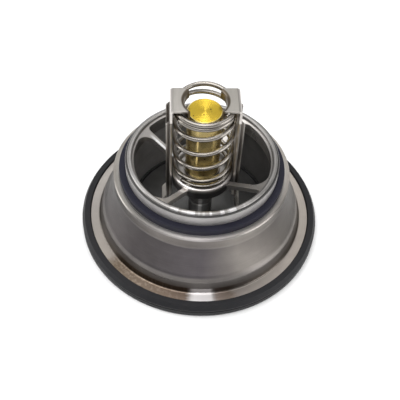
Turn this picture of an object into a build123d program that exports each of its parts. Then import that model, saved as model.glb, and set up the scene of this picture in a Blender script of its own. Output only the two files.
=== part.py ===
"""Sleeve-type engine thermostat for a heavy engine, in millimetres.

The frame stands on the underside of the flange seal, with +Z along the axis. The steel bell
holds a sliding sleeve in its neck. Hot wax in the brass cup pushes the piston out, and the
sleeve, the spider and the cup rise together against the return spring.
"""
from build123d import *
from math import asin, atan2, cos, degrees, hypot, pi, radians, sin
import os

# Flange and bell, pressed from one sheet
SHEET = 1.5
FLANGE_FACE_Z = 5.5
FLANGE_W = 6.1
WALL_LEAN = 1.4
WALL_H = 6.0
SHOULDER_W = 6.1
SHOULDER_RISE = 2.6
SHOULDER_IN = 1.5
CONE_SAG = 0.7
NECK_FOOT_Z = 28.2
NECK_H = 5.1
FOOT_BEND = 0.9
SHOULDER_BEND = 1.6
NECK_BEND = 2.2
NECK_EDGE = 0.4

# Moulded rubber seal round the rim of the flange
SEAL_OUT = 2.1
SEAL_LIP_W = 2.0
SEAL_LIP_H = 0.9
SEAL_FOOT_W = 3.2
SEAL_BEVEL = 1.2
SEAL_BEVEL_H = 2.2
SEAL_FOOT_CHAMFER = 0.7
SEAL_GROOVE_H = 0.7
SEAL_GROOVE_DEPTH = 0.45
SEAL_GROOVE_Z = 2.9
SEAL_FOOT_GROOVE_W = 1.0
SEAL_FOOT_GROOVE_DEPTH = 0.6

# Sliding sleeve
SLEEVE_R = 33.0
SLEEVE_WALL = 1.8
SLEEVE_TOP_Z = 41.6
SLEEVE_CHAMFER = 0.45
SLEEVE_LAND = 0.7

# Neck seal and the pressed carrier that holds it
SEAL_RUNNING_GAP = 0.05
NECK_SEAL_W = 2.8
NECK_SEAL_PROUD = 3.0
NECK_SEAL_ROUND = 0.4
NECK_SEAL_RELIEF = 0.5
NECK_SEAL_LAND = 1.6
CARRIER_T = 1.1
CARRIER_GAP = 0.35

# Valve seat under the sleeve
SEAT_TOP_Z = 8.0
SEAT_MARGIN = 3.0
SEAT_SEAL_W = 4.0
SEAT_SEAL_PROUD = 0.8
SEAT_SEAL_SUNK = 0.6

# Bridge under the seat
BRIDGE_ARM_W = 14.0
BRIDGE_FOOT_W = 10.0
BRIDGE_HUB_R = 13.0
BRIDGE_SEAL_GAP = 0.4
BRIDGE_WALL_GAP = 3.5
BRIDGE_BEND = 1.2

# Spider pressed into the top of the sleeve
SPIDER_ARMS = 4
SPIDER_TURN = -30.0
ARM_W = 2.3
ARM_DEPTH = 2.6
ARM_END_DROP = 0.7
HUB_DROP = 7.1
HUB_MARGIN = 0.5
HUB_T = 1.5
HUB_BEND = 1.2
HUB_SKIRT_H = 5.5
HUB_LEDGE = 0.6
RIM_LIP_IN = 1.1
RIM_SET_IN = 0.9
RIM_H = 0.9
RIM_ROUND = 0.75
RIM_SKIRT_H = 8.6
RIM_LEDGE = 0.7
ROOT_FILLET = 1.6
SIDE_ROOT_FILLET = 5.0
HUB_FILLET = 1.8

# Wax element
CUP_R = 7.3
CUP_WALL = 0.9
CUP_H = 34.1
CUP_CAP = 1.6
CUP_CHAMFER = 0.4
CUP_HUB_GAP = 0.1
CRIMP_OUT = 2.1
CRIMP_WALL = 0.8
CRIMP_LIP = 0.6
CRIMP_LIP_IN = 1.8
SHOULDER_T = 1.0
GUIDE_R = 5.3
GUIDE_FLANGE_T = 2.2
GUIDE_NOSE_GAP = 1.0
BOOT_R = 4.2
BOOT_FLANGE_T = 0.6
BOOT_END = 2.2
BOOT_AIR = 0.4
PISTON_R = 2.2
PISTON_GAP = 0.05
PISTON_TIP_DROP = 13.6
PISTON_TAPER_H = 6.0
PISTON_TIP_R = 1.3
WIPER_W = 1.3
WIPER_H = 2.0
RING_WIRE = 1.0
RING_GROOVE = 0.4
RING_SPLIT = 3.0
RING_LIFT = 0.1

# Boss that carries the piston
BOSS_H = 6.2
BOSS_SOCKET = 4.0
BOSS_SHANK_R = 3.0
RIVET_HEAD_R = 4.4
RIVET_HEAD_H = 1.4

# Stirrups that hold the spring down
STIRRUP_TURN = 4.5
STIRRUP_H = 40.0
STRAP = 1.0
STRAP_HALF_W = 6.65
STRAP_SPRING_GAP = 0.2
STRAP_HUB_GAP = 0.3
EAR_CUP_GAP = 1.1
EAR_LIP_H = 3.0
EAR_BEND = 0.5
STIFFENER_OUT = 1.6
STIFFENER_HALF_W = 5.9
STIFFENER_DROP = 6.7
STIFFENER_REACH = 6.5
STIFFENER_BEND = 0.6
STIFFENER_CORNER = 1.4
JOGGLE_OUT = 3.3
JOGGLE_H = 5.5
TAIL_HALF_W = 3.8
TAIL_HOOK = 3.0
SLOT_GAP = 0.15
HOOK_GAP = 0.1

# Return spring
SPRING_WIRE = 2.0
SPRING_R = 11.9
SPRING_GAP = 0.05
TOP_TURNS = 1.68
TOP_PITCH = 2.1
ACTIVE_TURNS = 3.6
FOOT_TURNS = 1.07
FOOT_PITCH = 2.3
PITCH_EASE = 1.0
POINTS_PER_TURN = 16
SPRING_END_TURN = -8.0

# Radii that follow from the sleeve outwards
SLEEVE_BORE = SLEEVE_R - SLEEVE_WALL
NECK_SEAL_R = SLEEVE_R + NECK_SEAL_W
NECK_R = NECK_SEAL_R + CARRIER_T + SHEET
WALL_TOP_R = NECK_R + SHOULDER_W
WALL_FOOT_R = WALL_TOP_R + WALL_LEAN
FLANGE_R = WALL_FOOT_R + FLANGE_W
SEAL_R = FLANGE_R + SEAL_OUT
SEAL_LIP_R = FLANGE_R - SEAL_LIP_W
SEAL_FOOT_R = FLANGE_R - SEAL_FOOT_W
SEAT_R = SLEEVE_R + SEAT_MARGIN
BRIDGE_REACH_R = SEAL_FOOT_R - BRIDGE_SEAL_GAP
BRIDGE_JOGGLE_R = WALL_TOP_R - BRIDGE_WALL_GAP
RIM_IN_R = SLEEVE_BORE - RIM_LIP_IN
RIM_OUT_R = SLEEVE_R - RIM_SET_IN

# Radii that follow from the spring and the cup
SPRING_OUT_R = SPRING_R + SPRING_WIRE / 2
HUB_R = SPRING_OUT_R + HUB_MARGIN
STRAP_IN_X = SPRING_OUT_R + STRAP_SPRING_GAP
STRAP_X = STRAP_IN_X + STRAP
TAIL_X = STRAP_X + JOGGLE_OUT
EAR_LIP_R = CUP_R + EAR_CUP_GAP
CRIMP_R = CUP_R + CRIMP_OUT
CRIMP_BORE = CRIMP_R - CRIMP_WALL
CUP_BORE = CUP_R - CUP_WALL

# Heights that follow from the flange and the seat
FLANGE_UNDER_Z = FLANGE_FACE_Z - SHEET
NECK_TOP_Z = NECK_FOOT_Z + NECK_H
SLEEVE_FOOT_Z = SEAT_TOP_Z + SEAT_SEAL_PROUD
SEAT_UNDER_Z = SEAT_TOP_Z - SHEET
BRIDGE_UNDER_Z = SEAT_UNDER_Z - SHEET
BOSS_TOP_Z = SEAT_TOP_Z + BOSS_H
SOCKET_Z = BOSS_TOP_Z - BOSS_SOCKET
GUIDE_NOSE_Z = BOSS_TOP_Z + GUIDE_NOSE_GAP

# Heights that follow from the top of the sleeve
HUB_TOP_Z = SLEEVE_TOP_Z - HUB_DROP
HUB_UNDER_Z = HUB_TOP_Z - HUB_T
HUB_FOOT_Z = HUB_TOP_Z - HUB_SKIRT_H
ARM_START_Z = HUB_UNDER_Z - HUB_LEDGE
ARM_END_Z = SLEEVE_TOP_Z - ARM_END_DROP
BOOT_FACE_Z = HUB_UNDER_Z - SHOULDER_T
GUIDE_TOP_Z = BOOT_FACE_Z - BOOT_FLANGE_T
GUIDE_SEAT_Z = GUIDE_TOP_Z - GUIDE_FLANGE_T
CRIMP_FOOT_Z = GUIDE_SEAT_Z - CRIMP_LIP
RING_Z = HUB_TOP_Z + RING_LIFT + RING_WIRE / 2
CUP_TOP_Z = HUB_TOP_Z + CUP_H
PISTON_TIP_Z = CUP_TOP_Z - PISTON_TIP_DROP
EAR_TOP_Z = HUB_TOP_Z + STIRRUP_H
EAR_UNDER_Z = EAR_TOP_Z - STRAP
STIFFENER_TOP_Z = EAR_TOP_Z - STIFFENER_DROP
STIFFENER_FOOT_Z = HUB_FOOT_Z - STIFFENER_REACH


def turned(points):
    """A ring turned round the axis from its half section, given as radius and height."""
    section = make_face(Polyline(*points, close=True))
    return revolve(Plane.XZ * section, Axis.Z)


def pressed(path, radii, thickness):
    """The half section of a folded sheet: its outer line, its bend radii and its thickness."""
    line = FilletPolyline(*path, radius=radii)
    return make_face(offset(line, amount=thickness, side=Side.RIGHT))


def ring(outer, inner, low, high):
    """A plain ring between two heights."""
    return turned([(inner, low), (outer, low), (outer, high), (inner, high)])


def bell_housing():
    """Deep-drawn bell: flange, upright wall, shoulder, hollow cone and neck in one sheet."""
    wall_z = FLANGE_FACE_Z + WALL_H
    cone_r = WALL_TOP_R - SHOULDER_IN
    cone_z = wall_z + SHOULDER_RISE
    middle_r = (cone_r + NECK_R) / 2 - CONE_SAG
    middle_z = (cone_z + NECK_FOOT_Z) / 2
    path = [
        (NECK_R, NECK_TOP_Z),
        (NECK_R, NECK_FOOT_Z),
        (middle_r, middle_z),
        (cone_r, cone_z),
        (WALL_TOP_R, wall_z),
        (WALL_FOOT_R, FLANGE_FACE_Z),
        (FLANGE_R, FLANGE_FACE_Z),
    ]
    cone_bend = (NECK_FOOT_Z - cone_z) * 2
    radii = [NECK_BEND, cone_bend, SHOULDER_BEND, SHOULDER_BEND, FOOT_BEND]
    bell = revolve(Plane.XZ * pressed(path, radii, SHEET), Axis.Z)
    mouth = bell.edges().filter_by(GeomType.CIRCLE).group_by(Axis.Z)[-1]
    return chamfer(mouth.sort_by(SortBy.RADIUS)[-1], NECK_EDGE)


def flange_seal():
    """Rubber ring gripping the flange rim, with a bevelled top and a grooved outer wall."""
    top_z = FLANGE_FACE_Z + SEAL_LIP_H
    groove_top = SEAL_GROOVE_Z + SEAL_GROOVE_H
    groove_r = SEAL_R - SEAL_GROOVE_DEPTH
    body = turned([
        (SEAL_FOOT_R, SEAL_FOOT_CHAMFER),
        (SEAL_FOOT_R + SEAL_FOOT_CHAMFER, 0),
        (SEAL_R - SEAL_FOOT_CHAMFER, 0),
        (SEAL_R, SEAL_FOOT_CHAMFER),
        (SEAL_R, SEAL_GROOVE_Z),
        (groove_r, SEAL_GROOVE_Z + SEAL_GROOVE_H / 4),
        (groove_r, groove_top - SEAL_GROOVE_H / 4),
        (SEAL_R, groove_top),
        (SEAL_R, top_z - SEAL_BEVEL_H),
        (SEAL_R - SEAL_BEVEL, top_z),
        (SEAL_LIP_R + SEAL_LIP_H / 2, top_z),
        (SEAL_LIP_R, FLANGE_FACE_Z),
        (FLANGE_R, FLANGE_FACE_Z),
        (FLANGE_R, FLANGE_UNDER_Z),
        (SEAL_FOOT_R, FLANGE_UNDER_Z),
    ])
    groove_middle = (SEAL_R + SEAL_FOOT_R) / 2
    groove = ring(
        groove_middle + SEAL_FOOT_GROOVE_W / 2,
        groove_middle - SEAL_FOOT_GROOVE_W / 2,
        -SEAL_FOOT_GROOVE_DEPTH,
        SEAL_FOOT_GROOVE_DEPTH,
    )
    return body - groove


def seal_carrier():
    """Pressed ring in the neck, with a ledge under the neck seal."""
    out_r = NECK_R - SHEET
    ledge_z = NECK_FOOT_Z + CARRIER_T
    return turned([
        (SLEEVE_R + CARRIER_GAP, NECK_FOOT_Z),
        (out_r, NECK_FOOT_Z),
        (out_r, NECK_TOP_Z),
        (NECK_SEAL_R, NECK_TOP_Z),
        (NECK_SEAL_R, ledge_z),
        (SLEEVE_R + CARRIER_GAP, ledge_z),
    ])


def neck_seal():
    """Dark rubber ring round the sleeve, with a sealing land at each end of its bore."""
    foot_z = NECK_FOOT_Z + CARRIER_T
    top_z = NECK_TOP_Z + NECK_SEAL_PROUD
    bore = SLEEVE_R + SEAL_RUNNING_GAP
    relief = bore + NECK_SEAL_RELIEF
    body = ring(NECK_SEAL_R, bore, foot_z, top_z)
    crown = body.edges().filter_by(GeomType.CIRCLE).group_by(Axis.Z)[-1]
    body = fillet(crown.sort_by(SortBy.RADIUS)[-1], NECK_SEAL_ROUND)
    waist = turned([
        (bore - NECK_SEAL_RELIEF, foot_z + NECK_SEAL_LAND),
        (bore, foot_z + NECK_SEAL_LAND),
        (relief, foot_z + NECK_SEAL_LAND + NECK_SEAL_RELIEF),
        (relief, top_z - NECK_SEAL_LAND - NECK_SEAL_RELIEF),
        (bore, top_z - NECK_SEAL_LAND),
        (bore - NECK_SEAL_RELIEF, top_z - NECK_SEAL_LAND),
    ])
    return body - waist


def valve_sleeve():
    """Thin tube, bevelled outside at the top and to a narrow sealing edge at the foot."""
    foot_r = SLEEVE_BORE + SLEEVE_LAND
    bevel_z = SLEEVE_FOOT_Z + SLEEVE_R - foot_r
    return turned([
        (SLEEVE_BORE, SLEEVE_FOOT_Z),
        (foot_r, SLEEVE_FOOT_Z),
        (SLEEVE_R, bevel_z),
        (SLEEVE_R, SLEEVE_TOP_Z - SLEEVE_CHAMFER),
        (SLEEVE_R - SLEEVE_CHAMFER, SLEEVE_TOP_Z),
        (SLEEVE_BORE, SLEEVE_TOP_Z),
    ])


def spider_windows():
    """Plan of the openings between the arms, widely rounded beside the stirrups at the rim."""
    skirt_middle = HUB_R - HUB_LEDGE / 2
    plan = Circle(RIM_IN_R - RIM_LEDGE) - Circle(skirt_middle)
    for index in range(SPIDER_ARMS):
        turn = SPIDER_TURN + index * 360 / SPIDER_ARMS
        plan -= Rot(0, 0, turn) * Pos(RIM_IN_R / 2, 0) * Rectangle(RIM_IN_R + ARM_W, ARM_W)
    middle = (RIM_IN_R + HUB_R) / 2
    roots = plan.vertices().filter_by(lambda v: hypot(v.X, v.Y) > middle)
    beside = roots.filter_by(lambda v: (degrees(atan2(v.Y, v.X)) - SPIDER_TURN) % 180 < 90)
    between = [root for root in roots if root not in beside]
    plan = fillet(between, ROOT_FILLET)
    beside = [plan.vertices().sort_by_distance(root)[0] for root in beside]
    plan = fillet(beside, SIDE_ROOT_FILLET)
    inner = plan.vertices().filter_by(lambda v: hypot(v.X, v.Y) < skirt_middle + ARM_W / 4)
    return fillet(inner, HUB_FILLET)


def spider():
    """Formed spider: rim over the sleeve's edge, four sloping arms and the sprung hub."""
    rim_top = SLEEVE_TOP_Z + RIM_H
    rim = turned([
        (RIM_IN_R, rim_top),
        (RIM_OUT_R, rim_top),
        (RIM_OUT_R, SLEEVE_TOP_Z),
        (SLEEVE_BORE, SLEEVE_TOP_Z),
        (SLEEVE_BORE, SLEEVE_TOP_Z - RIM_SKIRT_H),
        (RIM_IN_R, SLEEVE_TOP_Z - RIM_SKIRT_H),
    ])
    crown = rim.edges().filter_by(GeomType.CIRCLE).group_by(Axis.Z)[-1]
    rim = fillet(crown, RIM_ROUND)
    hub = turned([
        (CUP_R + CUP_HUB_GAP, HUB_UNDER_Z),
        (CUP_R + CUP_HUB_GAP, HUB_TOP_Z),
        (HUB_R, HUB_TOP_Z),
        (HUB_R, HUB_FOOT_Z),
        (HUB_R - HUB_T, HUB_FOOT_Z),
        (HUB_R - HUB_T, HUB_UNDER_Z),
    ])
    edge = hub.edges().filter_by(GeomType.CIRCLE).group_by(Axis.Z)[-1].sort_by(SortBy.RADIUS)[-1]
    hub = fillet(edge, HUB_BEND)
    rim_middle = RIM_IN_R + RIM_LIP_IN / 2
    arms = turned([
        (HUB_R - HUB_LEDGE, ARM_START_Z),
        (rim_middle, ARM_END_Z),
        (rim_middle, ARM_END_Z - ARM_DEPTH),
        (HUB_R - HUB_LEDGE, ARM_START_Z - ARM_DEPTH),
    ])
    arms -= Pos(0, 0, HUB_FOOT_Z - ARM_DEPTH) * extrude(spider_windows(), rim_top)
    body = rim + arms + hub
    flat_x = STRAP_IN_X - STRAP_HUB_GAP
    flat_w = 2 * (HUB_R**2 - flat_x**2) ** 0.5 + SLOT_GAP
    flat = Pos(flat_x + HUB_T / 2, 0, HUB_UNDER_Z) * Box(HUB_T, flat_w, 2 * HUB_SKIRT_H)
    return body - [Rot(0, 0, STIRRUP_TURN + turn) * flat for turn in (0, 180)]


def seat_disc():
    """Stamped disc under the sleeve, with a groove for its rubber and slots for the stirrups."""
    body = ring(SEAT_R, BOSS_SHANK_R, SEAT_UNDER_Z, SEAT_TOP_Z)
    middle = (SLEEVE_BORE + SLEEVE_R) / 2
    half = SEAT_SEAL_W / 2
    body -= ring(middle + half, middle - half, SEAT_TOP_Z - SEAT_SEAL_SUNK, SEAT_TOP_Z + SHEET)
    rim = body.edges().filter_by(GeomType.CIRCLE).group_by(Axis.Z)[-1]
    body = fillet(rim.sort_by(SortBy.RADIUS)[-1], SHEET / 3)
    return body - stirrup_slots()


def seat_seal():
    """Rubber ring bonded into the seat disc, on which the sleeve's edge closes."""
    middle = (SLEEVE_BORE + SLEEVE_R) / 2
    half = SEAT_SEAL_W / 2
    body = ring(middle + half, middle - half, SEAT_TOP_Z - SEAT_SEAL_SUNK, SLEEVE_FOOT_Z)
    crown = body.edges().filter_by(GeomType.CIRCLE).group_by(Axis.Z)[-1]
    return chamfer(crown, SEAT_SEAL_PROUD / 2)


def stirrup_slots():
    """Cutters for the slots through which the tails of the stirrups pass."""
    width = 2 * (TAIL_HALF_W + SLOT_GAP)
    depth = STRAP + 2 * SLOT_GAP
    slot = Pos(TAIL_X - STRAP / 2, 0, SEAT_UNDER_Z) * Box(depth, width, 4 * SHEET)
    return [Rot(0, 0, STIRRUP_TURN + turn) * slot for turn in (0, 180)]


def bottom_bridge():
    """Stamped cross under the seat disc, whose four feet step down below the flange."""
    step = FLANGE_UNDER_Z - SEAT_UNDER_Z
    path = [
        (0, SEAT_UNDER_Z),
        (BRIDGE_JOGGLE_R, SEAT_UNDER_Z),
        (BRIDGE_JOGGLE_R - step, FLANGE_UNDER_Z),
        (BRIDGE_REACH_R, FLANGE_UNDER_Z),
    ]
    leg = Plane.XZ * pressed(path, BRIDGE_BEND, SHEET)
    half = BRIDGE_ARM_W / 2
    taper_r = TAIL_X + 3 * STRAP
    plan = make_face(Polyline(
        (0, -half),
        (taper_r, -half),
        (BRIDGE_JOGGLE_R, -BRIDGE_FOOT_W / 2),
        (BRIDGE_REACH_R + STRAP, -BRIDGE_FOOT_W / 2),
        (BRIDGE_REACH_R + STRAP, BRIDGE_FOOT_W / 2),
        (BRIDGE_JOGGLE_R, BRIDGE_FOOT_W / 2),
        (taper_r, half),
        (0, half),
        close=True,
    ))
    arm = extrude(leg, BRIDGE_ARM_W, both=True) & extrude(plan, SEAT_TOP_Z)
    arm &= Cylinder(BRIDGE_REACH_R, 4 * SEAT_TOP_Z)
    body = ring(BRIDGE_HUB_R, 0, BRIDGE_UNDER_Z, SEAT_UNDER_Z)
    body += [Rot(0, 0, STIRRUP_TURN + 90 * index) * arm for index in range(4)]
    body -= Cylinder(BOSS_SHANK_R, 4 * SEAT_TOP_Z)
    return body - stirrup_slots()


def piston_boss():
    """Turned boss on the seat disc: socket for the piston above, riveted shank below."""
    head_z = BRIDGE_UNDER_Z - RIVET_HEAD_H
    body = turned([
        (0, head_z),
        (RIVET_HEAD_R, head_z),
        (RIVET_HEAD_R, BRIDGE_UNDER_Z),
        (BOSS_SHANK_R, BRIDGE_UNDER_Z),
        (BOSS_SHANK_R, SEAT_TOP_Z),
        (GUIDE_R, SEAT_TOP_Z),
        (GUIDE_R, BOSS_TOP_Z),
        (PISTON_R, BOSS_TOP_Z),
        (PISTON_R, SOCKET_Z),
        (0, SOCKET_Z),
    ])
    circles = body.edges().filter_by(GeomType.CIRCLE)
    body = fillet(circles.group_by(Axis.Z)[0], RIVET_HEAD_H * 0.6)
    crown = body.edges().filter_by(GeomType.CIRCLE).group_by(Axis.Z)[-1]
    return chamfer(crown.sort_by(SortBy.RADIUS)[-1], CUP_CHAMFER)


def piston():
    """Ground steel piston standing in the boss, with a tapered tip inside the boot."""
    return turned([
        (0, SOCKET_Z),
        (PISTON_R, SOCKET_Z),
        (PISTON_R, PISTON_TIP_Z - PISTON_TAPER_H),
        (PISTON_TIP_R, PISTON_TIP_Z),
        (0, PISTON_TIP_Z),
    ])


def piston_guide():
    """Turned guide for the piston: clamped flange, long nose and a recess for the wiper."""
    bore = PISTON_R + PISTON_GAP
    recess_r = bore + WIPER_W
    body = turned([
        (bore, GUIDE_NOSE_Z + WIPER_H),
        (recess_r, GUIDE_NOSE_Z + WIPER_H),
        (recess_r, GUIDE_NOSE_Z),
        (GUIDE_R, GUIDE_NOSE_Z),
        (GUIDE_R, GUIDE_SEAT_Z),
        (CRIMP_BORE, GUIDE_SEAT_Z),
        (CRIMP_BORE, GUIDE_TOP_Z),
        (bore, GUIDE_TOP_Z),
    ])
    nose = body.edges().filter_by(GeomType.CIRCLE).group_by(Axis.Z)[0]
    return chamfer(nose.sort_by(SortBy.RADIUS)[-1], CUP_CHAMFER)


def guide_wiper():
    """Rubber wiper ring in the nose of the guide."""
    bore = PISTON_R + PISTON_GAP
    return ring(bore + WIPER_W, bore, GUIDE_NOSE_Z, GUIDE_NOSE_Z + WIPER_H)


def squeeze_boot():
    """Rubber boot between wax and piston, with the flange that the guide clamps."""
    bore = PISTON_R + PISTON_GAP
    air_z = PISTON_TIP_Z + BOOT_AIR
    return turned([
        (bore, GUIDE_TOP_Z),
        (CRIMP_BORE, GUIDE_TOP_Z),
        (CRIMP_BORE, BOOT_FACE_Z),
        (BOOT_R, BOOT_FACE_Z),
        (BOOT_R, air_z + BOOT_END / 2),
        (BOOT_R - BOOT_END / 2, air_z + BOOT_END),
        (0, air_z + BOOT_END),
        (0, air_z),
        (PISTON_TIP_R + PISTON_GAP, air_z),
        (bore, air_z - PISTON_TAPER_H),
    ])


def wax_charge():
    """Wax that fills the cup round the boot."""
    air_z = PISTON_TIP_Z + BOOT_AIR
    return turned([
        (BOOT_R, BOOT_FACE_Z),
        (CUP_BORE, BOOT_FACE_Z),
        (CUP_BORE, CUP_TOP_Z - CUP_CAP),
        (0, CUP_TOP_Z - CUP_CAP),
        (0, air_z + BOOT_END),
        (BOOT_R - BOOT_END / 2, air_z + BOOT_END),
        (BOOT_R, air_z + BOOT_END / 2),
    ])


def brass_cup():
    """Brass cup of the element, flanged under the hub and crimped round the guide."""
    groove_r = CUP_R - RING_GROOVE
    half = RING_WIRE / 2
    return turned([
        (0, CUP_TOP_Z - CUP_CAP),
        (CUP_BORE, CUP_TOP_Z - CUP_CAP),
        (CUP_BORE, BOOT_FACE_Z),
        (CRIMP_BORE, BOOT_FACE_Z),
        (CRIMP_BORE, GUIDE_SEAT_Z),
        (CRIMP_BORE - CRIMP_LIP_IN, GUIDE_SEAT_Z),
        (CRIMP_BORE - CRIMP_LIP_IN, CRIMP_FOOT_Z),
        (CRIMP_R - CRIMP_LIP, CRIMP_FOOT_Z),
        (CRIMP_R, CRIMP_FOOT_Z + CRIMP_LIP),
        (CRIMP_R, HUB_UNDER_Z),
        (CUP_R, HUB_UNDER_Z),
        (CUP_R, RING_Z - half),
        (groove_r, RING_Z - half),
        (groove_r, RING_Z + half),
        (CUP_R, RING_Z + half),
        (CUP_R, CUP_TOP_Z - CUP_CHAMFER),
        (CUP_R - CUP_CHAMFER, CUP_TOP_Z),
        (0, CUP_TOP_Z),
    ])


def retaining_ring():
    """Split wire ring in the groove of the cup, just above the hub."""
    groove_r = CUP_R - RING_GROOVE
    half = RING_WIRE / 2
    body = ring(groove_r + RING_WIRE, groove_r, RING_Z - half, RING_Z + half)
    return body - Pos(0, CUP_R, RING_Z) * Box(RING_SPLIT, 4 * RING_WIRE, 2 * RING_WIRE)


def stirrup():
    """Right-hand stirrup: bent ear with a rolled lip, stiffened strap, joggle and hooked tail."""
    bend = EAR_BEND + STRAP
    ear_r = EAR_LIP_R + bend
    side_path = [
        (ear_r / 2, EAR_TOP_Z),
        (STRAP_X, EAR_TOP_Z),
        (STRAP_X, STIFFENER_FOOT_Z),
        (TAIL_X, STIFFENER_FOOT_Z - JOGGLE_H),
        (TAIL_X, BRIDGE_UNDER_Z - HOOK_GAP),
        (TAIL_X + TAIL_HOOK, BRIDGE_UNDER_Z - HOOK_GAP),
    ]
    radii = [bend, 2 * STRAP, 2 * STRAP, SLOT_GAP]
    section = Plane.XZ * pressed(side_path, radii, STRAP)
    body = extrude(section, STRAP_HALF_W, both=True)
    body -= Pos(0, 0, EAR_TOP_Z) * Cylinder(ear_r, 4 * STRAP)

    half_angle = degrees(asin(STRAP_HALF_W / ear_r))
    lip_path = [
        (ear_r + STRAP / 2, EAR_TOP_Z),
        (EAR_LIP_R, EAR_TOP_Z),
        (EAR_LIP_R, EAR_TOP_Z - EAR_LIP_H - STRAP),
    ]
    lip_line = FilletPolyline(*lip_path, radius=bend)
    lip_face = Plane.XZ * make_face(offset(lip_line, amount=STRAP, side=Side.LEFT))
    lip = revolve(Rot(0, 0, -half_angle) * lip_face, Axis.Z, 2 * half_angle)
    body += lip & Box(2 * STRAP_X, 2 * STRAP_HALF_W, 2 * EAR_TOP_Z)

    out_x = STRAP_X + STIFFENER_OUT
    channel_path = [
        (out_x, -STIFFENER_HALF_W),
        (STRAP_IN_X, -STIFFENER_HALF_W),
        (STRAP_IN_X, STIFFENER_HALF_W),
        (out_x, STIFFENER_HALF_W),
    ]
    channel_line = FilletPolyline(*channel_path, radius=STIFFENER_BEND + STRAP)
    height = STIFFENER_TOP_Z - STIFFENER_FOOT_Z
    channel = extrude(make_face(offset(channel_line, amount=STRAP, side=Side.RIGHT)), height)
    tips = channel.edges().filter_by(Axis.Y).group_by(Axis.X)[-1].group_by(Axis.Z)[-1]
    channel = chamfer(tips, STIFFENER_CORNER)
    corners = Pos(STRAP_X, 0, STIFFENER_FOOT_Z) * Box(
        4 * STRAP, 2 * STRAP_HALF_W, height, align=(Align.CENTER, Align.CENTER, Align.MIN))
    body = (body - corners) + Pos(0, 0, STIFFENER_FOOT_Z) * channel

    cut_w = STRAP_HALF_W - TAIL_HALF_W
    for side in (-1, 1):
        place = Pos(TAIL_X, side * (TAIL_HALF_W + cut_w), 0)
        body -= place * Box(
            4 * JOGGLE_OUT, 2 * cut_w, STIFFENER_FOOT_Z, align=(Align.CENTER, Align.CENTER, Align.MIN))
    return body


def pitch_at(turn, knots):
    """Pitch of the spring at a turn, changing evenly from each knot to the next."""
    for (start, before), (end, after) in zip(knots, knots[1:]):
        if turn <= end:
            break
    return before + (after - before) * (turn - start) / (end - start)


def return_spring():
    """Right-handed compression spring from the hub to the ears, close-wound at both ends."""
    low = HUB_TOP_Z + SPRING_WIRE / 2 + SPRING_GAP
    high = EAR_UNDER_Z - SPRING_WIRE / 2 - SPRING_GAP
    foot_h = FOOT_TURNS * FOOT_PITCH
    top_h = TOP_TURNS * TOP_PITCH
    active_pitch = (high - low - foot_h - top_h) / ACTIVE_TURNS
    turns = FOOT_TURNS + ACTIVE_TURNS + TOP_TURNS
    ease = PITCH_EASE / 2
    knots = [
        (0, FOOT_PITCH),
        (FOOT_TURNS - ease, FOOT_PITCH),
        (FOOT_TURNS + ease, active_pitch),
        (turns - TOP_TURNS - ease, active_pitch),
        (turns - TOP_TURNS + ease, TOP_PITCH),
        (turns, TOP_PITCH),
    ]
    count = round(turns * POINTS_PER_TURN)
    step = turns / count
    centres = []
    for index in range(count + 1):
        angle = radians(SPRING_END_TURN) - 2 * pi * (turns - index * step)
        centres.append((SPRING_R * cos(angle), SPRING_R * sin(angle), low))
        low += step * pitch_at((index + 0.5) * step, knots)
    path = Spline(*centres)
    section = Plane(path @ 0, z_dir=path % 0) * Circle(SPRING_WIRE / 2)
    return sweep(section, path)


def main():
    os.makedirs("parts", exist_ok=True)
    right = Rot(0, 0, STIRRUP_TURN) * stirrup()
    pieces = {
        "bell_housing": bell_housing(),
        "flange_seal": flange_seal(),
        "seal_carrier": seal_carrier(),
        "neck_seal": neck_seal(),
        "seat_disc": seat_disc(),
        "seat_seal": seat_seal(),
        "bottom_bridge": bottom_bridge(),
        "piston_boss": piston_boss(),
        "piston": piston(),
        "stirrup_right": right,
        "stirrup_left": Rot(0, 0, 180) * right,
        "return_spring": return_spring(),
        "valve_sleeve": valve_sleeve(),
        "spider": spider(),
        "brass_cup": brass_cup(),
        "wax_charge": wax_charge(),
        "squeeze_boot": squeeze_boot(),
        "piston_guide": piston_guide(),
        "guide_wiper": guide_wiper(),
        "retaining_ring": retaining_ring(),
    }
    for name, piece in pieces.items():
        export_step(piece, f"parts/{name}.step")


main()
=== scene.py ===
"""Looks for the sleeve-type engine thermostat, in metres, round its fixed frame."""
import math

import bmesh
import bpy
from mathutils import Matrix, Vector


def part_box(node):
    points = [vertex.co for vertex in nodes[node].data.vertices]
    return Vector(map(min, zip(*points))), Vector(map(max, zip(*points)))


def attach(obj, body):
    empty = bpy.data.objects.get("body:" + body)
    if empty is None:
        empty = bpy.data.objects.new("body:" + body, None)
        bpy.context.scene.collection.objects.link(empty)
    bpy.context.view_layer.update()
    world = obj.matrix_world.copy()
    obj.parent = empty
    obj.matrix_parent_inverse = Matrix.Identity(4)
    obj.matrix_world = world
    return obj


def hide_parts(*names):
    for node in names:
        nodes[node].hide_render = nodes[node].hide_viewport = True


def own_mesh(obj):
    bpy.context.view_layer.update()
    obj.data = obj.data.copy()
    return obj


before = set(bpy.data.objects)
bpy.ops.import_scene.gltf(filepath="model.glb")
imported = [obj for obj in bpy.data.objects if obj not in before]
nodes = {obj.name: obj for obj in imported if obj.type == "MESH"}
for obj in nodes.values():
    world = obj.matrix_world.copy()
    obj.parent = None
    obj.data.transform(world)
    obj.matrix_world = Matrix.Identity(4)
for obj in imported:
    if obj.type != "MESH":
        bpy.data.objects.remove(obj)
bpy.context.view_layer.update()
scene = bpy.context.scene
scene.view_settings.view_transform = "Standard"

MM = 0.001
# Share of a turn by which the stretched highlights are turned
ACROSS_THE_RINGS = 0.25
# How slowly the turned marks change round the axis
RING_DRIFT = 0.35
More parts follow.
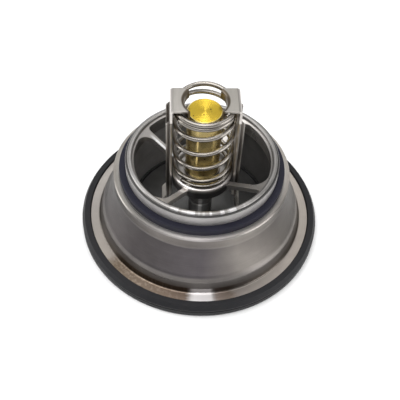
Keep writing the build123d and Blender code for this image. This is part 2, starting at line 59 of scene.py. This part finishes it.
# Depths of the fine grain, and the radii to which edges look softened, in metres
STEEL_GRAIN = 0.00004
RUBBER_GRAIN = 0.00006
STEEL_EDGE = 0.0004
RUBBER_EDGE = 0.00025
# Half the height over which one band of skin changes to the next, in millimetres
BAND_EDGE = 0.4


def rgba(red, green, blue):
    return (red, green, blue, 1.0)


def grey(level):
    return rgba(level, level, level)


def fill_ramp(bar, stops):
    """Sets a ramp's places and colours, where a lone number is a grey."""
    while len(bar.elements) < len(stops):
        bar.elements.new(1.0)
    for element, (spot, tone) in zip(bar.elements, stops):
        element.position = spot
        element.color = tone if isinstance(tone, tuple) else grey(tone)


class Tree:
    """A material's node tree, with short calls for the nodes it needs."""

    def __init__(self, name):
        self.material = bpy.data.materials.new(name)
        self.material.use_nodes = True
        self.nodes = self.material.node_tree.nodes
        self.links = self.material.node_tree.links
        self.shader = self.nodes["Principled BSDF"]

    def add(self, kind, inputs=None, **settings):
        node = self.nodes.new(kind)
        for key, value in settings.items():
            setattr(node, key, value)
        for key, value in (inputs or {}).items():
            self.put(node.inputs[key], value)
        return node

    def put(self, socket, value):
        if isinstance(value, bpy.types.NodeSocket):
            self.links.new(value, socket)
        else:
            socket.default_value = value

    def set(self, name, value):
        """Sets or links a socket of the shader itself."""
        self.put(self.shader.inputs[name], value)

    def math(self, operation, first, second=0.0):
        return self.add("ShaderNodeMath", {0: first, 1: second}, operation=operation).outputs[0]

    def times(self, first, *others):
        """Product of several values."""
        for other in others:
            first = self.math("MULTIPLY", first, other)
        return first

    def vector(self, operation, first, second=None, **more):
        inputs = {0: first} if second is None else {0: first, 1: second}
        inputs.update(more)
        return self.add("ShaderNodeVectorMath", inputs, operation=operation)

    def noise(self, vector, scale, detail, rough):
        inputs = {"Vector": vector, "Scale": scale, "Detail": detail, "Roughness": rough}
        return self.add("ShaderNodeTexNoise", inputs).outputs["Fac"]

    def span(self, value, low, high, to_low=0.0, to_high=1.0):
        inputs = {"Value": value, "From Min": low, "From Max": high, "To Min": to_low, "To Max": to_high}
        return self.add("ShaderNodeMapRange", inputs).outputs["Result"]

    def above(self, value, low, high):
        """Mask that rises from 0 to 1 between two measures in millimetres."""
        return self.span(value, low * MM, high * MM)

    def below(self, value, low, high):
        """Mask that falls from 1 to 0 between two measures in millimetres."""
        return self.span(value, low * MM, high * MM, 1.0, 0.0)

    def blend(self, factor, first, second, mode="MIX"):
        node = self.add("ShaderNodeMix", data_type="RGBA", blend_type=mode)
        self.put(node.inputs[0], factor)
        self.put(node.inputs[6], first)
        self.put(node.inputs[7], second)
        return node.outputs[2]

    def tinted(self, colour, tint):
        return self.blend(1.0, colour, tint, "MULTIPLY")

    def ramp(self, value, stops):
        node = self.add("ShaderNodeValToRGB", {0: value})
        fill_ramp(node.color_ramp, stops)
        return node.outputs["Color"]

    def place(self):
        return self.add("ShaderNodeTexCoord").outputs["Object"]

    def turned_place(self, degrees):
        """X, Y and Z of a place after a turn about the axis."""
        turn = (0.0, 0.0, math.radians(degrees))
        turned = self.add("ShaderNodeMapping", {"Vector": self.place(), "Rotation": turn})
        return self.add("ShaderNodeSeparateXYZ", {0: turned.outputs[0]}).outputs

    def cylinder(self):
        """Radius, angle, turn and height; the turn runs from 0 to 1, with the front at a quarter."""
        x, y, z = self.add("ShaderNodeSeparateXYZ", {0: self.place()}).outputs
        squares = self.math("ADD", self.times(x, x), self.times(y, y))
        angle = self.math("ARCTAN2", y, x)
        return self.math("SQRT", squares), angle, self.span(angle, -math.pi, math.pi), z

    def polar_noise(self, turn, around, detail, rough, radius=None, across=0.0):
        """Noise in cells that are counted round the axis and, where a radius is given, along it."""
        inputs = {0: self.times(turn, around)}
        if radius is not None:
            inputs[1] = self.times(radius, across)
        cells = self.add("ShaderNodeCombineXYZ", inputs).outputs[0]
        return self.noise(cells, 1.0, detail, rough)

    def round_normal(self):
        """The normal of a turned skin, without the small lean round the axis that its facets give it."""
        normal = self.add("ShaderNodeNewGeometry").outputs["Normal"]
        ahead = self.vector("CROSS_PRODUCT", (0.0, 0.0, 1.0), self.place()).outputs["Vector"]
        ahead = self.vector("NORMALIZE", ahead).outputs["Vector"]
        lean = self.vector("DOT_PRODUCT", normal, ahead).outputs["Value"]
        small = self.span(self.math("ABSOLUTE", lean), 0.3, 0.4, 1.0, 0.0)
        spare = self.vector("SCALE", ahead, Scale=self.times(lean, small)).outputs["Vector"]
        even = self.vector("SUBTRACT", normal, spare).outputs["Vector"]
        return self.vector("NORMALIZE", even).outputs["Vector"]

    def soft_edges(self, radius):
        return self.add("ShaderNodeBevel", {"Radius": radius}, samples=4).outputs[0]

    def roughen(self, strength, depth, grain, normal):
        """Lays a fine grain on the skin."""
        inputs = {"Strength": strength, "Distance": depth, "Height": grain, "Normal": normal}
        self.set("Normal", self.add("ShaderNodeBump", inputs).outputs[0])

    def colour(self):
        return self.shader.inputs["Base Color"].links[0].from_socket

    def paint(self, factor, colour):
        """Lays a colour over the skin where a factor is high."""
        self.set("Base Color", self.blend(factor, self.colour(), colour))

    def shade(self, factor, tint):
        """Multiplies the skin's colour where a factor is high."""
        self.paint(factor, self.tinted(self.colour(), tint))


def ringed_steel(name, colour, dark, rough, aniso, lines, bump, metal=1.0, tones=None, bands=()):
    """Steel turned or drawn round the axis: fine rings that stretch every highlight across them.

    Tones multiply the colour by height, and each band by turn, between two heights in millimetres; here
    the bands carry painted light and shade round the axis.
    """
    tree = Tree(name)
    radius, angle, turn, z = tree.cylinder()
    rings = tree.add("ShaderNodeCombineXYZ", {
        0: tree.times(radius, lines), 1: tree.times(angle, RING_DRIFT), 2: tree.times(z, lines)})
    fine = tree.noise(rings.outputs[0], 1.0, 3.0, 0.65)
    stain = tree.noise(tree.place(), 60.0, 4.0, 0.6)
    cloud = tree.noise(tree.place(), 22.0, 2.0, 0.5)
    tone = tree.blend(tree.span(stain, 0.35, 0.7), colour, dark)
    tone = tree.tinted(tone, tree.ramp(fine, [(0.3, 0.88), (0.7, 1.0)]))
    if tones:
        low, high, stops = tones
        places = [((height - low) / (high - low), level) for height, level in stops]
        tone = tree.tinted(tone, tree.ramp(tree.above(z, low, high), places))
    for low, high, stops in bands:
        over_low = tree.above(z, low - BAND_EDGE, low + BAND_EDGE)
        under_high = tree.below(z, high - BAND_EDGE, high + BAND_EDGE)
        tinted = tree.tinted(tone, tree.ramp(turn, stops))
        tone = tree.blend(tree.times(over_low, under_high), tone, tinted)
    tree.set("Base Color", tone)
    tree.set("Metallic", metal)
    spread = tree.span(fine, 0.25, 0.75, rough - 0.05, rough + 0.05)
    tree.set("Roughness", tree.math("ADD", spread, tree.span(cloud, 0.3, 0.7, 0.0, 0.06)))
    tree.set("Anisotropic", aniso)
    tree.set("Anisotropic Rotation", ACROSS_THE_RINGS)
    tree.set("Tangent", tree.add("ShaderNodeTangent", direction_type="RADIAL", axis="Z").outputs[0])
    tree.roughen(bump, STEEL_GRAIN, fine, tree.round_normal())
    return tree


def plain_steel(name, colour, dark, rough, grain_scale, bump, stretch=(1.0, 1.0, 1.0), metal=1.0):
    """Stamped steel: a cloudy satin skin, drawn out along its grain, with softened edges."""
    tree = Tree(name)
    along = tree.add("ShaderNodeMapping", {"Vector": tree.place(), "Scale": stretch}).outputs[0]
    cloud = tree.noise(along, 70.0, 4.0, 0.6)
    grain = tree.noise(along, grain_scale, 3.0, 0.6)
    tone = tree.blend(tree.span(cloud, 0.35, 0.7), colour, dark)
    tree.set("Base Color", tree.tinted(tone, tree.ramp(grain, [(0.3, 0.93), (0.7, 1.0)])))
    tree.set("Metallic", metal)
    tree.set("Roughness", tree.span(cloud, 0.3, 0.7, rough - 0.04, rough + 0.05))
    tree.roughen(bump, STEEL_GRAIN, grain, tree.soft_edges(STEEL_EDGE))
    return tree


def moulded(name, colour, dust, rough, sheen):
    """Moulded rubber or wax: a faintly dusty skin with a fine grain."""
    tree = Tree(name)
    place = tree.place()
    cloud = tree.noise(place, 90.0, 5.0, 0.65)
    grain = tree.noise(place, 2600.0, 2.0, 0.5)
    tree.set("Base Color", tree.blend(tree.span(cloud, 0.45, 0.8), colour, dust))
    tree.set("Roughness", tree.span(cloud, 0.3, 0.7, rough - 0.08, rough + 0.08))
    tree.set("Specular IOR Level", sheen)
    tree.roughen(0.25, RUBBER_GRAIN, grain, tree.soft_edges(RUBBER_EDGE))
    return tree


# The bell's skin by height, in painted light and shade: the up-facing flange bright, painted shade from
# the foot of the wall up the cone, the neck painted paler and a painted highlight on the mouth's edge
BELL_LIGHT_BY_HEIGHT = [
    (5.53, 1.0), (5.62, 0.36), (10.5, 0.38), (12.2, 0.52), (14.5, 0.52), (24.0, 0.46), (27.2, 0.41),
    (28.6, 0.58), (32.4, 0.58), (32.9, 1.0)]
# Painted light and shade round the bell, from the left by the front to the right and the back: lighter
# and darker sides, with painted highlights at the front and front right
WALL_PAINTED_LIGHT = [
    (0.0, rgba(0.64, 0.62, 0.6)), (0.08, rgba(0.46, 0.45, 0.44)), (0.16, rgba(0.8, 0.78, 0.76)),
    (0.3, rgba(0.84, 0.82, 0.8)), (0.5, rgba(0.96, 0.93, 0.88)), (1.0, rgba(0.64, 0.62, 0.6))]
CONE_PAINTED_LIGHT = [
    (0.0, rgba(0.39, 0.375, 0.37)), (0.18, rgba(0.33, 0.315, 0.33)), (0.26, rgba(0.46, 0.44, 0.48)),
    (0.32, rgba(0.98, 0.95, 0.9)), (0.41, rgba(0.5, 0.48, 0.45)), (1.0, rgba(0.42, 0.4, 0.39))]
NECK_PAINTED_LIGHT = [
    (0.0, rgba(0.22, 0.21, 0.205)), (0.06, rgba(0.13, 0.125, 0.12)), (0.18, rgba(0.7, 0.68, 0.66)),
    (0.25, rgba(0.56, 0.54, 0.53)), (0.32, rgba(1.1, 1.08, 1.02)), (0.39, rgba(0.84, 0.82, 0.78)),
    (0.43, rgba(0.4, 0.39, 0.37)), (1.0, rgba(0.22, 0.21, 0.205))]
MOUTH_PAINTED_LIGHT = [
    (0.0, rgba(0.66, 0.65, 0.61)), (0.14, rgba(0.52, 0.52, 0.5)), (0.25, rgba(0.96, 0.95, 0.96)),
    (0.35, rgba(0.66, 0.65, 0.62)), (0.43, rgba(0.48, 0.47, 0.45)), (0.48, rgba(0.74, 0.72, 0.68)),
    (1.0, rgba(0.66, 0.65, 0.61))]
# Brown patches on the front of the flange, with a painted reflection between them: a bright patch
FLANGE_PATCHES_AND_REFLECTION = [
    (0.0, rgba(0.94, 0.93, 0.9)), (0.04, rgba(0.84, 0.82, 0.78)), (0.105, rgba(0.8, 0.76, 0.7)),
    (0.12, rgba(0.4, 0.33, 0.25)), (0.17, rgba(0.46, 0.38, 0.3)), (0.238, rgba(0.4, 0.32, 0.26)),
    (0.245, 0.8), (0.275, 0.8), (0.283, rgba(0.6, 0.52, 0.47)), (0.301, rgba(0.5, 0.43, 0.37)),
    (0.314, rgba(0.78, 0.75, 0.71)), (0.5, rgba(0.8, 0.77, 0.72)), (1.0, rgba(0.94, 0.93, 0.9))]
# The sleeve is bright, with a line of painted shade where the spider's rim meets its end
SLEEVE_TONES = [(34.0, 0.9), (36.5, 0.95), (40.6, 1.0), (41.15, 0.9), (41.3, 0.15)]
# The wall of the brass cup is duller than its top
CUP_TONES = [(62.0, rgba(0.8, 0.72, 0.62)), (67.9, rgba(0.85, 0.78, 0.68)), (68.5, 1.0)]

bell = ringed_steel(
    "bell_steel", rgba(0.62, 0.59, 0.57), rgba(0.5, 0.47, 0.46), 0.3, 0.7, 2400.0, 0.4,
    tones=(5.0, 34.0, BELL_LIGHT_BY_HEIGHT), bands=[
        (5.62, 13.0, WALL_PAINTED_LIGHT), (13.0, 27.8, CONE_PAINTED_LIGHT), (27.8, 32.6, NECK_PAINTED_LIGHT),
        (32.6, 40.0, MOUTH_PAINTED_LIGHT)])
carrier = ringed_steel(
    "carrier_steel", rgba(0.66, 0.64, 0.63), rgba(0.55, 0.53, 0.52), 0.3, 0.6, 2600.0, 0.3,
    bands=[(25.0, 40.0, MOUTH_PAINTED_LIGHT)])
sleeve = ringed_steel(
    "sleeve_steel", rgba(0.55, 0.53, 0.52), rgba(0.4, 0.385, 0.375), 0.42, 0.3, 3000.0, 0.35,
    metal=0.8, tones=(33.0, 42.0, SLEEVE_TONES))
turned = plain_steel(
    "turned_steel", rgba(0.8, 0.79, 0.79), rgba(0.68, 0.67, 0.67), 0.4, 900.0, 0.0, metal=0.3)
stamped = plain_steel(
    "stamped_steel", rgba(0.56, 0.54, 0.52), rgba(0.45, 0.43, 0.415), 0.3, 1500.0, 0.05, metal=0.8)
# The seat disc and bridge are coloured very dark: painted shade for the depth they sit in
seat = ringed_steel(
    "seat_steel", rgba(0.12, 0.12, 0.118), rgba(0.08, 0.08, 0.078), 0.34, 0.6, 1800.0, 0.3)
strap = plain_steel(
    "stirrup_steel", rgba(0.5, 0.475, 0.44), rgba(0.38, 0.355, 0.325), 0.3, 900.0, 0.08,
    stretch=(1.0, 0.15, 1.0), metal=0.85)
wire = plain_steel(
    "spring_wire", rgba(0.34, 0.315, 0.285), rgba(0.26, 0.24, 0.215), 0.2, 500.0, 0.0)
cup = ringed_steel(
    "cup_brass", rgba(0.78, 0.56, 0.065), rgba(0.7, 0.48, 0.058), 0.2, 0.8, 5200.0, 0.3,
    tones=(60.0, 70.0, CUP_TONES))
outer_rubber = moulded(
    "flange_rubber", rgba(0.006, 0.006, 0.008), rgba(0.016, 0.015, 0.016), 0.5, 0.3)
navy_rubber = moulded(
    "neck_rubber", rgba(0.008, 0.008, 0.018), rgba(0.014, 0.014, 0.027), 0.5, 0.25)
inner_rubber = moulded("inner_rubber", grey(0.016), grey(0.024), 0.55, 0.3)
wax = moulded("wax", rgba(0.6, 0.47, 0.27), rgba(0.7, 0.58, 0.38), 0.5, 0.5)


def mark_cup(tree):
    """Pale edge round the brass top, and a few dark specks."""
    radius = tree.cylinder()[0]
    tree.paint(tree.times(tree.above(radius, 6.55, 6.75), 0.5), rgba(0.95, 0.86, 0.5))
    cells = tree.add("ShaderNodeTexVoronoi", {"Vector": tree.place(), "Scale": 420.0})
    speck = tree.span(cells.outputs["Distance"], 0.1, 0.18, 1.0, 0.0)
    chance = tree.span(tree.noise(tree.place(), 300.0, 1.0, 0.5), 0.52, 0.54)
    tree.paint(tree.times(speck, chance), rgba(0.09, 0.06, 0.02))


def mark_strap(tree):
    """Painted light: shade and a brass reflection on the ear lips, tails painted lighter and less
    metallic, shade on the right ear and outer lip, and a shaded channel beside a highlight on each inner
    edge, all painted.
    """
    stirrups_turn = 4.5
    radius, _, _, z = tree.cylinder()
    # Painted shade, with a painted brass reflection, on the inner faces of the ear lips
    tree.shade(tree.below(radius, 9.4, 9.9), rgba(0.36, 0.31, 0.25))
    # The tails are made less metallic and painted lighter, as painted light for the dim inside
    tree.set("Metallic", tree.span(z, 24.0 * MM, 30.0 * MM, 0.3, 0.85))
    tree.shade(tree.below(z, 24.0, 30.0), grey(1.9))
    across = tree.turned_place(-stirrups_turn)[0]
    # Painted shade on the right ear
    right_ear_shade = tree.times(tree.above(z, 70.0, 71.0), tree.above(across, -2.0, 2.0))
    tree.shade(right_ear_shade, rgba(0.86, 0.86, 0.85))
    # Painted shade on the right outer lip
    tree.shade(tree.above(across, 15.2, 15.5), grey(0.72))
    reach = tree.above(tree.math("ABSOLUTE", across), 13.0, 16.0)
    # A dark channel of painted shade, and a painted highlight along each inner edge
    channel_shade = tree.ramp(reach, [(0.38, 0.0), (0.42, 1.0), (0.7, 1.0), (0.8, 0.0)])
    tree.shade(channel_shade, rgba(0.28, 0.26, 0.25))
    inner_highlight = tree.ramp(reach, [(0.0, 0.0), (0.04, 1.0), (0.34, 1.0), (0.38, 0.0)])
    tree.shade(tree.times(inner_highlight, tree.above(z, 30.0, 34.0)), rgba(1.7, 1.7, 1.75))


def mark_stamped(tree):
    """Painted light on the spider: painted shade on the hub's skirt, a painted highlight on the ledge,
    painted light and shade round the rim with painted glints at its front, and its arms painted in the
    light.
    """
    rear_left_arm = 150.0
    glints_a_turn = 58.0
    radius, _, turn, z = tree.cylinder()
    # Painted shade on the hub's skirt, under the hub
    hub = tree.below(radius, 13.6, 14.0)
    tree.shade(tree.times(hub, tree.below(z, 32.0, 33.4)), rgba(0.3, 0.3, 0.32))

    rim = tree.above(z, 41.2, 41.8)
    arms = tree.math("SUBTRACT", 1.0, rim)
    tree.shade(arms, rgba(0.82, 0.81, 0.8))
    # Painted light and shade round the rim, darker round the front and darkest at the front right
    tree.shade(rim, tree.ramp(turn, [
        (0.0, 0.72), (0.1, 0.72), (0.22, 0.62), (0.34, 0.6), (0.4, 0.42), (0.5, 0.6), (1.0, 0.72)]))

    # The front left arm is painted lighter where it catches the light, and the rear left one has a
    # painted highlight line along it
    tree.shade(arms, tree.ramp(turn, [(0.1, 1.0), (0.13, 1.9), (0.2, 1.9), (0.23, 1.0)]))
    along, aside, _ = tree.turned_place(-rear_left_arm)
    highlight_line = tree.ramp(tree.above(aside, -1.0, 2.0), [(0.25, 0.0), (0.38, 1.0), (0.62, 1.0), (0.72, 0.0)])
    length = tree.ramp(tree.above(along, 12.0, 28.0), [(0.0, 0.0), (0.15, 1.0), (0.7, 1.0), (0.95, 0.0)])
    tree.paint(tree.times(highlight_line, length, arms), grey(0.98))

    # The ledge of the hub under the spring has a painted highlight
    ledge_highlight = tree.times(tree.above(radius, 12.2, 12.6), hub, tree.above(z, 33.0, 33.8))
    tree.shade(ledge_highlight, rgba(1.5, 1.5, 1.52))

    # Short painted glints, in segments, along the front of the rim
    rim_glints = tree.span(tree.polar_noise(turn, glints_a_turn, 1.0, 0.5), 0.48, 0.52)
    front = tree.ramp(turn, [(0.17, 0.0), (0.21, 1.0), (0.32, 1.0), (0.36, 0.0)])
    tree.paint(tree.times(front, rim, rim_glints), rgba(0.62, 0.61, 0.61))


def mark_turned(tree):
    """The boss and the guide stand in the dark, with one highlight down their front."""
    tree.shade(1.0, tree.ramp(tree.cylinder()[2], [
        (0.0, 0.3), (0.19, 0.3), (0.22, 0.45), (0.238, 1.2), (0.268, 1.2), (0.286, 0.45), (0.32, 0.3),
        (1.0, 0.3)]))


def mark_sleeve(tree):
    """Inside, the sleeve is painted darker on the right and lighter on the left: painted shade and
    light.
    """
    radius, _, turn, _ = tree.cylinder()
    tree.shade(tree.below(radius, 32.3, 32.5), tree.ramp(turn, [
        (0.0, 1.5), (0.3, 0.8), (0.5, 0.5), (0.7, 0.55), (0.82, 1.5), (1.0, 1.5)]))


def mark_bell(tree):
    """Brown patches on the flange, mottled on the left, and a painted reflection in front: a bright
    patch.
    """
    radius, _, turn, z = tree.cylinder()
    worn = tree.span(tree.polar_noise(turn, 60.0, 4.0, 0.7, radius, 900.0), 0.35, 0.65, -0.004, 0.004)
    patches_and_reflection = tree.tinted(tree.colour(), tree.ramp(tree.math("ADD", turn, worn), FLANGE_PATCHES_AND_REFLECTION))
    rubbed = tree.span(tree.polar_noise(turn, 220.0, 3.0, 0.6, radius, 700.0), 0.5, 0.58)
    where = tree.ramp(turn, [(0.11, 0.0), (0.125, 1.0), (0.19, 0.8), (0.235, 0.2), (0.24, 0.0)])
    lighter = tree.tinted(patches_and_reflection, rgba(1.45, 1.5, 1.6))
    patches_and_reflection = tree.blend(tree.times(rubbed, where), patches_and_reflection, lighter)
    tree.paint(tree.below(z, 7.7, 8.3), patches_and_reflection)

    # The painted reflection goes on up the foot of the wall
    front = tree.ramp(turn, [(0.241, 0.0), (0.248, 1.0), (0.275, 1.0), (0.278, 0.0)])
    foot_reflection = tree.ramp(tree.above(z, 5.0, 9.0), [
        (0.12, rgba(0.8, 0.78, 0.78)), (0.14, rgba(0.5, 0.47, 0.465))])
    tree.paint(tree.times(front, tree.below(z, 7.7, 8.0)), foot_reflection)


def mark_outer_rubber(tree):
    """Painted shade in the groove round the flange seal."""
    radius, _, _, z = tree.cylinder()
    groove_shade = tree.ramp(tree.above(z, 2.6, 5.0), [(0.08, 0.0), (0.14, 1.0), (0.42, 1.0), (0.5, 0.0)])
    tree.shade(tree.times(tree.above(radius, 53.2, 53.5), groove_shade), grey(0.2))


mark_cup(cup)
mark_strap(strap)
mark_stamped(stamped)
mark_turned(turned)
mark_sleeve(sleeve)
mark_bell(bell)
mark_outer_rubber(outer_rubber)

SKINS = [
    (bell, ["bell_housing"]),
    (carrier, ["seal_carrier"]),
    (sleeve, ["valve_sleeve"]),
    (turned, ["piston", "piston_boss", "piston_guide"]),
    (stamped, ["spider"]),
    (seat, ["seat_disc", "bottom_bridge"]),
    (strap, ["stirrup_right", "stirrup_left"]),
    (wire, ["retaining_ring"]),
    (cup, ["brass_cup"]),
    (outer_rubber, ["flange_seal"]),
    (navy_rubber, ["neck_seal"]),
    (inner_rubber, ["seat_seal", "squeeze_boot", "guide_wiper"]),
    (wax, ["wax_charge"]),
]
for skin, names in SKINS:
    for name in names:
        for slot in nodes[name].material_slots:
            slot.material = skin.material


# The spring, in metres, turns and degrees: close-wound ends, eased pitch and a topmost turn that
# stands higher behind
SPRING_WIRE_R = 0.001
TOP_TURNS = 1.68
TOP_PITCH = 0.0021
REAR_RISE = 0.0012
REAR_SPREAD = 90.0
ACTIVE_TURNS = 3.6
FOOT_TURNS = 1.07
FOOT_PITCH = 0.0023
PITCH_EASE = 1.0
SPRING_END_TURN = -8.0
STEPS_A_TURN = 64
POINTS_ROUND_WIRE = 20


def spring_centres():
    """Centre line of the wire, close-wound at the hub and at the ears, as the frame's spring."""
    low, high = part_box("return_spring")
    radius = (high[0] - low[0]) / 2 - SPRING_WIRE_R
    rise = high[2] - low[2] - 2 * SPRING_WIRE_R
    active = (rise - FOOT_TURNS * FOOT_PITCH - TOP_TURNS * TOP_PITCH) / ACTIVE_TURNS
    turns = FOOT_TURNS + ACTIVE_TURNS + TOP_TURNS
    count = round(turns * STEPS_A_TURN)
    centres = []
    height = low[2] + SPRING_WIRE_R
    for index in range(count + 1):
        turn = index * turns / count
        angle = math.radians(SPRING_END_TURN) - 2 * math.pi * (turns - turn)
        from_rear = math.degrees(angle) + 270.0
        share = max(0.0, 1.0 - abs(from_rear) / REAR_SPREAD)
        lifted = height + REAR_RISE * math.sin(math.pi / 2 * share) ** 2
        centres.append(Vector((radius * math.cos(angle), radius * math.sin(angle), lifted)))
        middle = turn + 0.5 * turns / count
        foot_share = min(max((middle - FOOT_TURNS) / PITCH_EASE + 0.5, 0.0), 1.0)
        top_share = min(max((middle - turns + TOP_TURNS) / PITCH_EASE + 0.5, 0.0), 1.0)
        pitch = FOOT_PITCH + (active - FOOT_PITCH) * foot_share + (TOP_PITCH - active) * top_share
        height += pitch * turns / count
    return centres


def spring_piece():
    """Round wire along the helix, with a cut face at each end."""
    centres = spring_centres()
    mesh = bmesh.new()
    rings = []
    for index, centre in enumerate(centres):
        ahead = centres[min(index + 1, len(centres) - 1)]
        behind = centres[max(index - 1, 0)]
        forward = (ahead - behind).normalized()
        outward = Vector((centre.x, centre.y, 0)).normalized()
        upward = forward.cross(outward).normalized()
        ring = []
        for step in range(POINTS_ROUND_WIRE):
            angle = 2 * math.pi * step / POINTS_ROUND_WIRE
            spoke = math.cos(angle) * outward + math.sin(angle) * upward
            ring.append(mesh.verts.new(centre + SPRING_WIRE_R * spoke))
        rings.append(ring)
    for first, second in zip(rings, rings[1:]):
        for step in range(POINTS_ROUND_WIRE):
            after = (step + 1) % POINTS_ROUND_WIRE
            mesh.faces.new((first[step], first[after], second[after], second[step])).smooth = True
    mesh.faces.new(rings[0])
    mesh.faces.new(rings[-1])
    bmesh.ops.recalc_face_normals(mesh, faces=mesh.faces)
    data = bpy.data.meshes.new("spring_coils")
    mesh.to_mesh(data)
    mesh.free()
    coils = bpy.data.objects.new("spring_coils", data)
    scene.collection.objects.link(coils)
    data.materials.append(wire.material)
    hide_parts("return_spring")
    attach(coils, "housing")
    low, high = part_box("return_spring")
    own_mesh(coils)


spring_piece()

FLOOR_RADIUS = 20.0
FLOOR_Z = -0.00005
# Distances in metres between which the floor turns to plain white
FLOOR_NEAR = 0.4
FLOOR_FAR = 0.7


def floor_material():
    """Pale matt floor that keeps the object's shadow, and plain white far from it."""
    tree = Tree("pale_floor")
    tree.set("Base Color", grey(0.94))
    tree.set("Roughness", 0.9)
    tree.set("Specular IOR Level", 0.0)
    rays = tree.add("ShaderNodeLightPath").outputs
    mirrored = tree.math("MAXIMUM", rays["Is Glossy Ray"], rays["Is Transmission Ray"])
    seen = tree.math("MAXIMUM", rays["Is Camera Ray"], mirrored)
    distance = tree.vector("LENGTH", tree.place()).outputs["Value"]
    far = tree.span(distance, FLOOR_NEAR, FLOOR_FAR)
    white = tree.add("ShaderNodeEmission", {"Color": grey(1.0), "Strength": 1.0})
    mixed = tree.add("ShaderNodeMixShader", {
        0: tree.times(seen, far), 1: tree.shader.outputs[0], 2: white.outputs[0]})
    tree.links.new(mixed.outputs[0], tree.nodes["Material Output"].inputs["Surface"])
    return tree.material


bpy.ops.mesh.primitive_circle_add(
    vertices=128, radius=FLOOR_RADIUS, fill_type="NGON", location=(0, 0, FLOOR_Z))
floor = bpy.context.object
floor.name = "floor"
floor.data.materials.append(floor_material())

LIGHTS_TARGET = Vector((0, 0, 0.03))
# Name, place and size in metres, and power in watts
SOFTBOXES = [
    ("key_box", (-0.25, -0.25, 1.15), (1.2, 0.9), 7.0),
    ("rear_strip", (0.0, 0.5, 1.0), (0.1, 0.45), 0.7),
    ("left_box", (-0.9, 0.1, 0.35), (0.5, 0.65), 3.0),
    ("right_box", (0.85, -0.35, 0.28), (0.6, 0.45), 3.0),
]
for name, place, size, power in SOFTBOXES:
    light = bpy.data.lights.new(name, "AREA")
    light.shape = "RECTANGLE"
    light.size, light.size_y = size
    light.energy = power
    lamp = bpy.data.objects.new(name, light)
    scene.collection.objects.link(lamp)
    lamp.location = place
    lamp.rotation_euler = (LIGHTS_TARGET - Vector(place)).to_track_quat("-Z", "Y").to_euler()

# World light by the sine of its height: white at the horizon, dark up the walls, pale overhead
ZENITH = 1.2
AIR = [(0.0, 1.0), (0.04, 0.4), (0.15, 0.3), (0.4, 0.25), (0.62, 0.55), (0.78, 0.95), (0.88, ZENITH)]


def studio_air():
    """World light that changes with its height."""
    world = bpy.data.worlds.new("studio")
    world.use_nodes = True
    air = world.node_tree
    sky = air.nodes["Background"]
    place = air.nodes.new("ShaderNodeTexCoord")
    split = air.nodes.new("ShaderNodeSeparateXYZ")
    air.links.new(place.outputs["Generated"], split.inputs[0])
    bar = air.nodes.new("ShaderNodeValToRGB")
    air.links.new(split.outputs["Z"], bar.inputs[0])
    fill_ramp(bar.color_ramp, [(spot, level / ZENITH) for spot, level in AIR])
    air.links.new(bar.outputs["Color"], sky.inputs["Color"])
    sky.inputs["Strength"].default_value = ZENITH
    scene.world = world


studio_air()

# The photograph's view: from the front and well above, with a slight roll
PITCH = math.radians(51.43)
ROLL = math.radians(3.4)
SENSOR_MM = 36.0
LENS_MM = 64.8
CAMERA_PLACE = (0, -0.2061, 0.27)
right = Vector((1, 0, 0))
up = Vector((0, math.sin(PITCH), math.cos(PITCH)))
back = Vector((0, -math.cos(PITCH), math.sin(PITCH)))
tilted_right = math.cos(ROLL) * right + math.sin(ROLL) * up
tilted_up = math.cos(ROLL) * up - math.sin(ROLL) * right
lens = bpy.data.cameras.new("camera")
lens.sensor_width = SENSOR_MM
lens.lens = LENS_MM
camera = bpy.data.objects.new("camera", lens)
scene.collection.objects.link(camera)
facing = Matrix((tilted_right, tilted_up, back)).transposed().to_4x4()
camera.matrix_world = Matrix.Translation(CAMERA_PLACE) @ facing
scene.camera = camera
